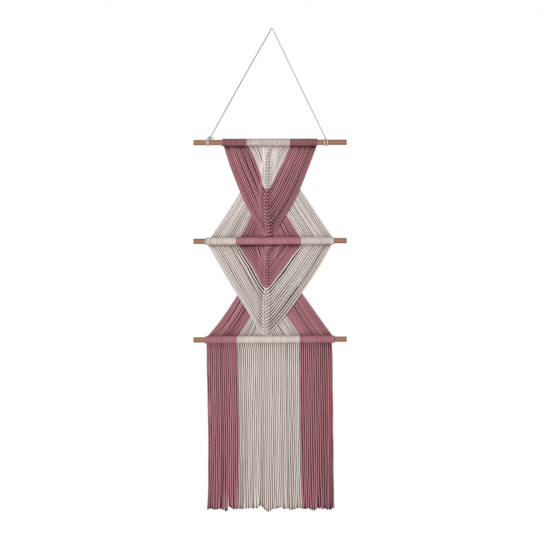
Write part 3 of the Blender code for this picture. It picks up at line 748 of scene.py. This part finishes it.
def columnX(column, z):
    # The column's middle at each height, read between its bends (Z and X).
    return np.interp(z, *np.array(column["bends"]).T)


def columnHalfWidths():
    # For each row; narrower at the head, the foot and the change of colour.
    head, foot, change = (knotted[part] for part in ("head", "foot", "change"))
    widths = np.full(len(rowNumbers), knotted["halfWidth"])
    widths[: len(head)] *= head
    widths[-len(foot) :] *= foot
    middle = knotCount - len(change) // 2
    widths[middle : middle + len(change)] *= change
    return widths


def sagShare(t):
    # 0 at both ends and about 1 mid-way, fuller in the far half.
    tilt = strand["sagTilt"]
    return 4 * t * (1 - t) * (1 - tilt + 2 * tilt * t)


def runBetween(a, b, sag, push, depth, seed):
    # A line from a to b, bowed by its sag, pushed aside mid-way by the partings, and wandering a little.
    sideTurns, depthTurns = strand["wanderTurns"]
    count = int(np.clip(np.linalg.norm(b - a) / strand["controlSpacing"], 0, strand["mostControls"]))
    t = np.linspace(0, 1, count + 2)
    points = a + (b - a) * t[:, None]
    way = unit(b - a)
    side = np.array((-way[2], 0.0, way[0]))
    drift = push * np.sin(math.pi * t) ** strand["pushPower"]
    drift = drift + strand["wander"] * np.sin(turn * (sideTurns * t + seed[0])) * np.sin(math.pi * t)
    points = points + side * drift[:, None]
    points[:, 0] += sag * sagShare(t)
    points[1:-1, 1] += depth + strand["unevenDepth"] * np.sin(turn * (depthTurns * t[1:-1] + seed[1]))
    return points


def pushes(partings, rows, layer):
    # Each parting pushes the rows on its two sides apart, less with distance.
    total = np.zeros(len(rows))
    for row, width, reach, share in partings:
        away = rows - row
        total += np.sign(away) * width / 2 * np.exp(-np.abs(away) / reach) * (share if layer else 1)
    return total


def frontPath(bar, column, x, z, width, side, depth, bow, layer, flatten):
    # From inside a bar's wraps down to the side of the column. A first cord goes on over its knot's front and
    # dives in, and a second one ends behind the knots.
    under = barAxis(bar, x)
    start = np.array((x, depth, under))
    reach = width * knotted["strandEnds"][side]
    end = np.array((columnX(column, z) + side * reach, depth - joints["proud"][layer], z))
    way = unit(unit(start - end) + (side * flatten, 0, 0))
    bends = near, knee = end + way * joints["near"], end + way * (joints["near"] + strand["kneeLength"])
    for point, room in zip(bends, joints["room"]):
        point[1:] = depth, min(point[2], under - room)
    start = start + (knee - start) * wraps["rootHeight"] / (under - knee[2])
    beyond = end - way * joints["beyond"][layer] + (0, joints["dive"][layer], 0)
    return np.vstack([runBetween(start, knee, *bow), near, end, beyond])


def backPath(bar, column, x, z, width, side, depth, bow, layer, flatten):
    # Out of the back of the column and down to the bar below; a first cord starts on the knot's back.
    over = barAxis(bar, x)
    middle = columnX(column, z)
    leaveRoom, kneeRoom = joints["backRoom"]
    height = max(z - joints["backDrop"], over + leaveRoom)
    leave = np.array((middle + side * (width + joints["backReach"]), depth, height))
    end = np.array((x, depth, over))
    knee = leave + unit(unit(end - leave) + (side * flatten, 0, 0)) * strand["kneeLength"]
    knee[2] = max(knee[2], over + kneeRoom)
    end = end + (knee - end) * wraps["rootHeight"] / (knee[2] - over)
    outwards, up = (depth, 0) if layer else (knotted["proud"], z - height)
    inner = (middle + side * width * joints["backInner"], outwards, height + up)
    return np.vstack([inner, leave, runBetween(knee, end, *bow)])


def nearBar(line, bar, reach):
    # 1 at the surface of the bar's wraps, and fading with the distance above or below it.
    away = np.abs(line[:, 2] - barAxis(bar, line[:, 0])) - bar["radius"] - 2 * wraps["depth"]
    return np.exp(-np.maximum(away, 0) / reach)


def paintedShadeAlong(line, bar, column, kind, colour, face):
    # The painted shade on a cord's sides and front: more beside the column and next to the bar.
    beside = np.exp(-np.abs(line[:, 0] - columnX(column, line[:, 2])) / paintedShadeReach["column"])
    beside = beside * (creamBeside if colour == "cream" else 1)
    sides, front = (kind[name][0] + kind[name][1] * beside for name in ("sidePaintedShade", "frontDusk"))
    share = paintedShadeShare[colour]
    if face == "back":
        share = share * behindShare
    else:
        front = front + kind["barShadow"] * share * nearBar(line, bar, paintedShadeReach["shadow"])
    return [sides, front + kind["barPaintedShade"] * share * nearBar(line, bar, paintedShadeReach["bar"])]


def partingShare(partings, place):
    # How far a second cord lies behind partings, each counted by its width.
    full, reach = second["partingWidth"], second["partingReach"]
    return sum(width / full * math.exp(-(((place - row) / reach) ** 2)) for row, width, *_ in partings)


def sheetShells(name, layer, order):
    # In front the cord nearest the column takes the first knot, and behind the first knot sends its cord to the
    # outermost place. The second cords lie half a place further on.
    sheet, level, face = sheets[name], name[:5], name[5:].lower()
    bar, column, kind = bars[sheet["bar"]], columns[level], (strand, second)[layer]
    places = rowNumbers[: len(rowNumbers) - layer] + layer / 2
    roots, shells = evenCords(sheet["roots"], knotCount), []
    apart = 1 if face == "front" else -1  # a line's own side turns with its way
    bothSides = zip((-1, 1), *(sheet[key] for key in ("sag", "bulge", "tone", "partings")), wanderPhases[name])
    for side, sag, bulge, sideTone, partings, phases in bothSides:
        push = pushes(partings, places, layer)
        for k, place in enumerate(places):
            outwards = place if face == "front" else lastRow - place
            cord = lastRow + 0.5 + side * (outwards + 0.5)
            x, z = between(cord, roots), between(place, columnRows(column))
            width = between(place, columnHalfWidths())
            if face == "front":
                makePath, bend = frontPath, (place / lastRow) ** strand["bendPower"]
            else:
                makePath, bend = backPath, 1 - place / lastRow
            stagger = strand["stagger"] * (1 if k % 2 else -1)
            aside = random.normal(0, strand["scatter"]) + apart * side * push[k]
            inwards = bulge * math.sin(math.pi * place / lastRow)
            bow = (side * (sag * bend - inwards), aside, stagger, phases + strand["wanderPitch"] * place)
            flatten = strand["flatten"] * (strand["leastFlatten"] + (1 - strand["leastFlatten"]) * bend)
            path = makePath(bar, column, x, z, width, side, kind["depth"][face], bow, layer, flatten)
            line = smoothLine(path, strand["step"])
            tone = sideTone + (0.0 if layer else netTones[int(round(cord))])
            if face == "front":
                tone += kind["outerTone"] * math.exp((place - lastRow) / strand["outerReach"])
            colour = order[0 if place < knotCount else 1]
            # Painted shade beside the column and the bar, and on the second cords also behind partings and in bands
            # across the sheet.
            paintedShade = paintedShadeAlong(line, bar, column, kind, colour, face)
            if layer:
                paintedShade[1] = paintedShade[1] + kind["bands"] * math.sin(kind["bandStep"] * place + turn * phases[1])
                deeper = kind["partingPaintedShade"] * paintedShadeShare[colour] * partingShare(partings, place)
                paintedShade[1] = paintedShade[1] + deeper * np.linspace(*kind["partingFade"], len(line))
                swell = 1.0
            else:
                swell = 1 - strand["barPinch"] * nearBar(line, bar, paintedShadeReach["bar"])
            phase = random.uniform(0, turn)
            look = {"lobe": strand["lobe"], "phase": phase, "swell": swell, "paintedShade": paintedShade}
            shells.append(cordSurface(line, kind["half"], strand["lay"], tone, **look))
    return shells


# The loops of a knot: shares of the half width across, of the way from sunk to proud, and of half a pitch up.
knotLoops = (
    ((-0.88, 0.1, -0.8), (-0.86, 0.95, -0.42), (-0.66, 1.0, 0.3), (-0.5, 0.1, 0.72)),
    ((-0.34, 0.1, -0.95), (-0.24, 0.95, -0.6), (0.0, 1.0, 0.02), (0.2, 0.1, 0.45)),
)


def columnKnots(column, order):
    # Each knot shows a loop at one side and one over the middle, both aslant, and behind the other way round.
    shells, rows = [], columnRows(column)
    sunk, rise = knotted["sunk"], knotted["proud"] - knotted["sunk"]
    thinning = knotted["knotThinning"]
    for k, (z, pitch, width) in enumerate(zip(rows, np.abs(np.gradient(rows)), columnHalfWidths())):
        share = paintedShadeShare[order[k // knotCount]]
        half = knotted["knot"] * (1 - thinning + thinning * width / knotted["halfWidth"])
        for face in (-1, 1):
            for loop in knotLoops:
                across, out, up = np.array(loop).T
                height = z + up * pitch / 2 + random.normal(0, knotted["knotUneven"])
                path = stack(columnX(column, z) - face * across * width, face * (sunk + rise * out), height)
                tone, phase = random.uniform(*toneSpread), random.uniform(0, turn)
                line = smoothLine(path, count=knotted["knotRings"])
                # Painted shade where a loop sinks in, and a painted highlight on its proud middle.
                inwards = np.clip(1 - (np.abs(line[:, 1]) - sunk) / rise, 0, 1)
                front = knotted["knotPaintedShade"] * share * inwards + knotted["knotFront"]
                paintedShade = (knotted["knotSides"] * share, front)
                shells.append(cordSurface(line, (half, half), strand["lay"], tone, phase=phase, paintedShade=paintedShade))
    return shells


def columnFillers(column, order):
    # The cords that run straight down inside the knots, as one flat bundle for each colour.
    shells, (over, under) = [], knotted["fillerEnds"]
    heights = (column["top"] + over, column["change"], column["foot"] - under)
    head, base = knotted["fillerSwell"]
    for k, colour in enumerate(order):
        z = np.linspace(heights[k], heights[k + 1], knotCount + 1)
        rows = np.arange(len(z)) + k * knotCount - 0.5
        swell = between(rows, columnHalfWidths()) / knotted["halfWidth"]
        if k:
            swell[-2:] = base
        else:
            swell[:4] = np.maximum(swell[:4], head)
        # Painted shade on the fillers' sides and front, deep between the knots.
        paintedShade = (knotted["fillerSides"], knotted["fillerPaintedShade"][colour])
        line, look = stack(columnX(column, z), 0.0, z), knotted["fillerSection"]
        shells.append(cordSurface(line, knotted["fillers"], tone=0.0, swell=swell, paintedShade=paintedShade, **look))
    return shells


def byColour(shells, sideCount, later=0):
    # On each side the first half of the rows has one colour and the second half the other.
    sides = [shells[k : k + sideCount] for k in range(0, len(shells), sideCount)]
    half = math.ceil(sideCount / 2) + later
    return sum((part[:half] for part in sides), []), sum((part[half:] for part in sides), [])


for level, order in (("upper", ("cream", "pink")), ("lower", ("pink", "cream"))):
    count = len(rowNumbers)
    made = {
        "FrontStrands": byColour(sheetShells(f"{level}Front", 0, order), count),
        "FrontSeconds": byColour(sheetShells(f"{level}Front", 1, order), count - 1, 2 if level == "lower" else 0),
        "BackStrands": byColour(sheetShells(f"{level}Back", 0, order), count),
        "BackSeconds": byColour(sheetShells(f"{level}Back", 1, order), count - 1),
        "Knots": byColour(columnKnots(columns[level], order), 2 * len(knotLoops) * count),
        "Fillers": byColour(columnFillers(columns[level], order), 2),
    }
    for part, halves in made.items():
        for colour, shells in zip(order, halves):
            addPiece(f"{level}{part}{colour.title()}", shells, *cottons[colour], f"{colour}_net")
print("net made")


# Fringe
fringe = {
    "length": 0.3755,  # from the bottom dowel's axis
    "half": (0.00145, 0.0025),
    "depthShare": 0.92,  # of the width
    "edgeSwell": 1.22,  # the first cord hangs free and is fuller
    "edgePaintedShade": 1.0, "lay": 0.015, "step": 0.0019,
    "depth": (-0.0015, 0.0017),  # of the first and the second cords
    # Painted shade on the sides and fronts of the first and the second cords; below zero the front is painted
    # lighter.
    "sidePaintedShade": (0.45, 0.35), "frontDusk": (-0.3, 1.5), "paintedShadeShare": {"cream": 0.9, "pink": 1.0},
    "lowPaintedShade": 0.35,  # towards the ends
    "paintedShadeFrom": 0.009,
    "sunkShare": 0.2,  # of the front cords lie further back
    "sunk": 0.0012, "sunkPaintedShade": 0.55,
    "uneven": 0.0011,  # in length, by waves and by chance
    "unevenWaves": (2.3, 1.7, 0.9), "unevenChance": 0.7, "wander": 0.0014,
    "wanderWaves": ((0.9, 3.1), (0.37, 2.0)),  # radians a cord and over the length
    "ripple": 0.0004,
    "rippleWaves": (23, 17),  # sideways and in depth, over the length
    "rippleFrom": 4,  # full from a fourth of the length
    "rootHeights": (0.006, 0.01),  # below the dowel's axis
    "rootDepth": 0.6,  # of the cord's depth, at the lower one
    "from": 0.045,  # of the length
    "controls": 9, "rootSize": 0.88, "rootGrowth": 12, "flare": 1.24, "flarePower": 14, "tipSize": 0.75,
    "curl": 0.0007,  # of an end, out of line
    "tipPaintedShade": 0.9,
    "driftAt": (0.0, 0.25, 0.5, 0.8, 1.0),  # to the right: shares of the length, and cords
    "drift": {
        0: (0.0, 0.0012, 0.003, 0.0032, 0.0022),
        16: (0.001, 0.004, 0.006, 0.006, 0.0054),
        47: (-0.0008, -0.001, 0.0000, 0.0022, 0.005),
        63: (0.0, 0.002, 0.0032, 0.0038, 0.0046),
    },
    "gapCord": 0.5,  # this second one is thin, and pale as its front gets the first cords' painted shading
    "gapSwell": 0.5, "partingCord": 10.5, "partingHalfWidth": 0.0021, "partingReach": 2.2,
    "partingPower": 12,  # it opens near the ends
    "endSpots": (  # cord, how many cords it spans, how much longer they are
        (9.0, 0.9, 0.005), (11.0, 0.9, -0.004), (21.1, 1.2, -0.0033), (26.2, 1.3, -0.0072), (30.8, 2.0, 0.0052),
        (35.3, 1.5, -0.0033), (42.4, 1.2, 0.003), (53.0, 1.5, 0.003), (60.6, 2.0, 0.003),
    ),
}
sunkCords = random.random(sum(cordsInRun)) < fringe["sunkShare"]
sunkCords[[0, 1, -1]] = False


def fringeLength(cord):
    # One length for all, with waves across the fringe, chance and some spots.
    perCord, swing, slow = fringe["unevenWaves"]
    wave = math.sin(perCord * cord + swing * math.sin(slow * cord))
    longer = fringe["uneven"] * (wave + random.normal(0, fringe["unevenChance"]))
    spots = sum(more * math.exp(-(((cord - at) / reach) ** 2)) for at, reach, more in fringe["endSpots"])
    return fringe["length"] + longer + spots


def fringeSway(cord, share):
    # A slow wave across the fringe, its drift, and what the parting pushes aside, all growing downwards.
    sway = fringe["wander"]
    for perCord, over in fringe["wanderWaves"]:
        sway = sway * np.sin(perCord * cord + over * share)
    drifts = [np.interp(share, fringe["driftAt"], drift) for drift in fringe["drift"].values()]
    away = cord - fringe["partingCord"]
    push = math.copysign(math.exp(-abs(away) / fringe["partingReach"]), away)
    drift = np.array([np.interp(cord, list(fringe["drift"]), ways) for ways in zip(*drifts)])
    return sway * share + drift + push * fringe["partingHalfWidth"] * share ** fringe["partingPower"]


def fringeStrand(cord, layer, colour):
    # From inside the bottom bar's wraps down to a flared end.
    bar = bars["bottom"]
    x = between(cord, bar["cords"])
    axis = barAxis(bar, x)
    sunk = 0 if layer else sunkCords[cord]
    depth = fringe["depth"][layer] + fringe["sunk"] * sunk
    share = np.linspace(fringe["from"], 1.0, fringe["controls"])
    seeds = random.random(2) * turn
    sideWave, depthWave = (fringe["ripple"] * np.sin(share * k + s) for k, s in zip(fringe["rippleWaves"], seeds))
    ripple = sideWave * np.minimum(1, share * fringe["rippleFrom"])
    curl = random.normal(0, fringe["curl"], 2)[:, None] * share ** fringe["flarePower"]
    points = stack(
        x + fringeSway(cord, share) + ripple + curl[0],
        depth + depthWave + curl[1],
        axis - fringeLength(cord) * share,
    )
    high, low = fringe["rootHeights"]
    root = [(x, 0.0, axis - high), (x, depth * fringe["rootDepth"], axis - low)]
    line = smoothLine(np.vstack([root, points]), fringe["step"])
    grow = np.linspace(0, 1, len(line))
    swell = fringe["rootSize"] + (1 - fringe["rootSize"]) * np.minimum(1, grow * fringe["rootGrowth"])
    swell = swell + (fringe["flare"] - 1) * grow ** fringe["flarePower"]
    swell[-1] *= fringe["tipSize"]
    half = fringe["half"][layer] * {0: fringe["edgeSwell"], fringe["gapCord"]: fringe["gapSwell"]}.get(cord, 1)
    kind, tone = (second, 0.0) if layer else (strand, cordTones[cord])
    phase = random.uniform(0, turn)
    # Painted shade below the bar, at the tip, on the cords set back and towards the ends, and more on the first
    # cord's front.
    under = np.exp(-np.maximum(axis - line[:, 2] - fringe["paintedShadeFrom"], 0) / paintedShadeReach["bar"])
    tip = np.exp((line[-1, 2] - line[:, 2]) / paintedShadeReach["bar"])
    ends = kind["barPaintedShade"] * under / 2 + fringe["tipPaintedShade"] * tip
    ends = ends + fringe["sunkPaintedShade"] * sunk + fringe["lowPaintedShade"] * grow**2
    front = fringe["frontDusk"][0 if cord == fringe["gapCord"] else layer] + (fringe["edgePaintedShade"] if cord == 0 else 0)
    paintedShade = (fringe["sidePaintedShade"][layer], (front + ends) * fringe["paintedShadeShare"][colour])
    halves = (half, half * fringe["depthShare"])
    return cordSurface(line, halves, fringe["lay"], tone, phase=phase, swell=swell, paintedShade=paintedShade)


for side, cords, seconds, colour in (
    ("Left", range(16), np.arange(0.5, 15), "pink"),
    ("Centre", range(16, 48), np.arange(15.5, 48), "cream"),
    ("Right", range(48, 64), np.arange(48.5, 63), "pink"),
):
    shells = [fringeStrand(cord, 0, colour) for cord in cords] + [fringeStrand(cord, 1, colour) for cord in seconds]
    addPiece(f"fringeStrands{side}", shells, *cottons[colour], f"fringe_{side.lower()}")
print("fringe made")


# Studio: white surroundings, one large soft key light from the upper left, and a pale floor below.
studio = {
    "seen": {"Color": (1, 1, 1, 1), "Strength": 1.0},  # behind the hanging
    "ambient": {"Color": (1.0, 0.99, 0.98, 1.0), "Strength": 0.32}, "keyPlace": (-1.2, -3.0, 0.1),
    "keySize": 1.3, "keyPower": 84.0,
    "floor": ((-4, -4, -1.55), (4, -4, -1.55), (4, 2.2, -1.55), (-4, 2.2, -1.55)),
    "floorLook": {"Roughness": 0.8, "Base Color": linear("f2f1ee")},
}


def addStudio():
    scene = bpy.context.scene
    world = scene.world = bpy.data.worlds.new("studio")
    world.use_nodes = True
    add = partial(addNode, world.node_tree)
    seen = add("Background", studio["seen"])
    soft = world.node_tree.nodes["Background"]
    adjust(soft, studio["ambient"])
    ray = add("LightPath").outputs["Is Camera Ray"]
    both = add("MixShader", links={0: ray, 1: soft, 2: seen})
    joinUp(world.node_tree.nodes["World Output"], {"Surface": both})

    light = bpy.data.lights.new("key", "AREA")
    light.size, light.energy = studio["keySize"], studio["keyPower"]
    key = addObject("key", light)
    key.location = studio["keyPlace"]
    x, y, z = np.array(view["middle"]) - np.array(studio["keyPlace"])
    key.rotation_euler = (math.atan2(math.hypot(x, y), -z), 0, math.atan2(y, x) - math.pi / 2)

    mesh = bpy.data.meshes.new("floor")
    mesh.from_pydata(studio["floor"], [], [(0, 1, 2, 3)])
    mesh.materials.append(newMaterial("palePaintedFloor", studio["floorLook"])[0])
    addObject("floor", mesh)
    scene.view_settings.view_transform = "Standard"


addStudio()
print("studio lit")
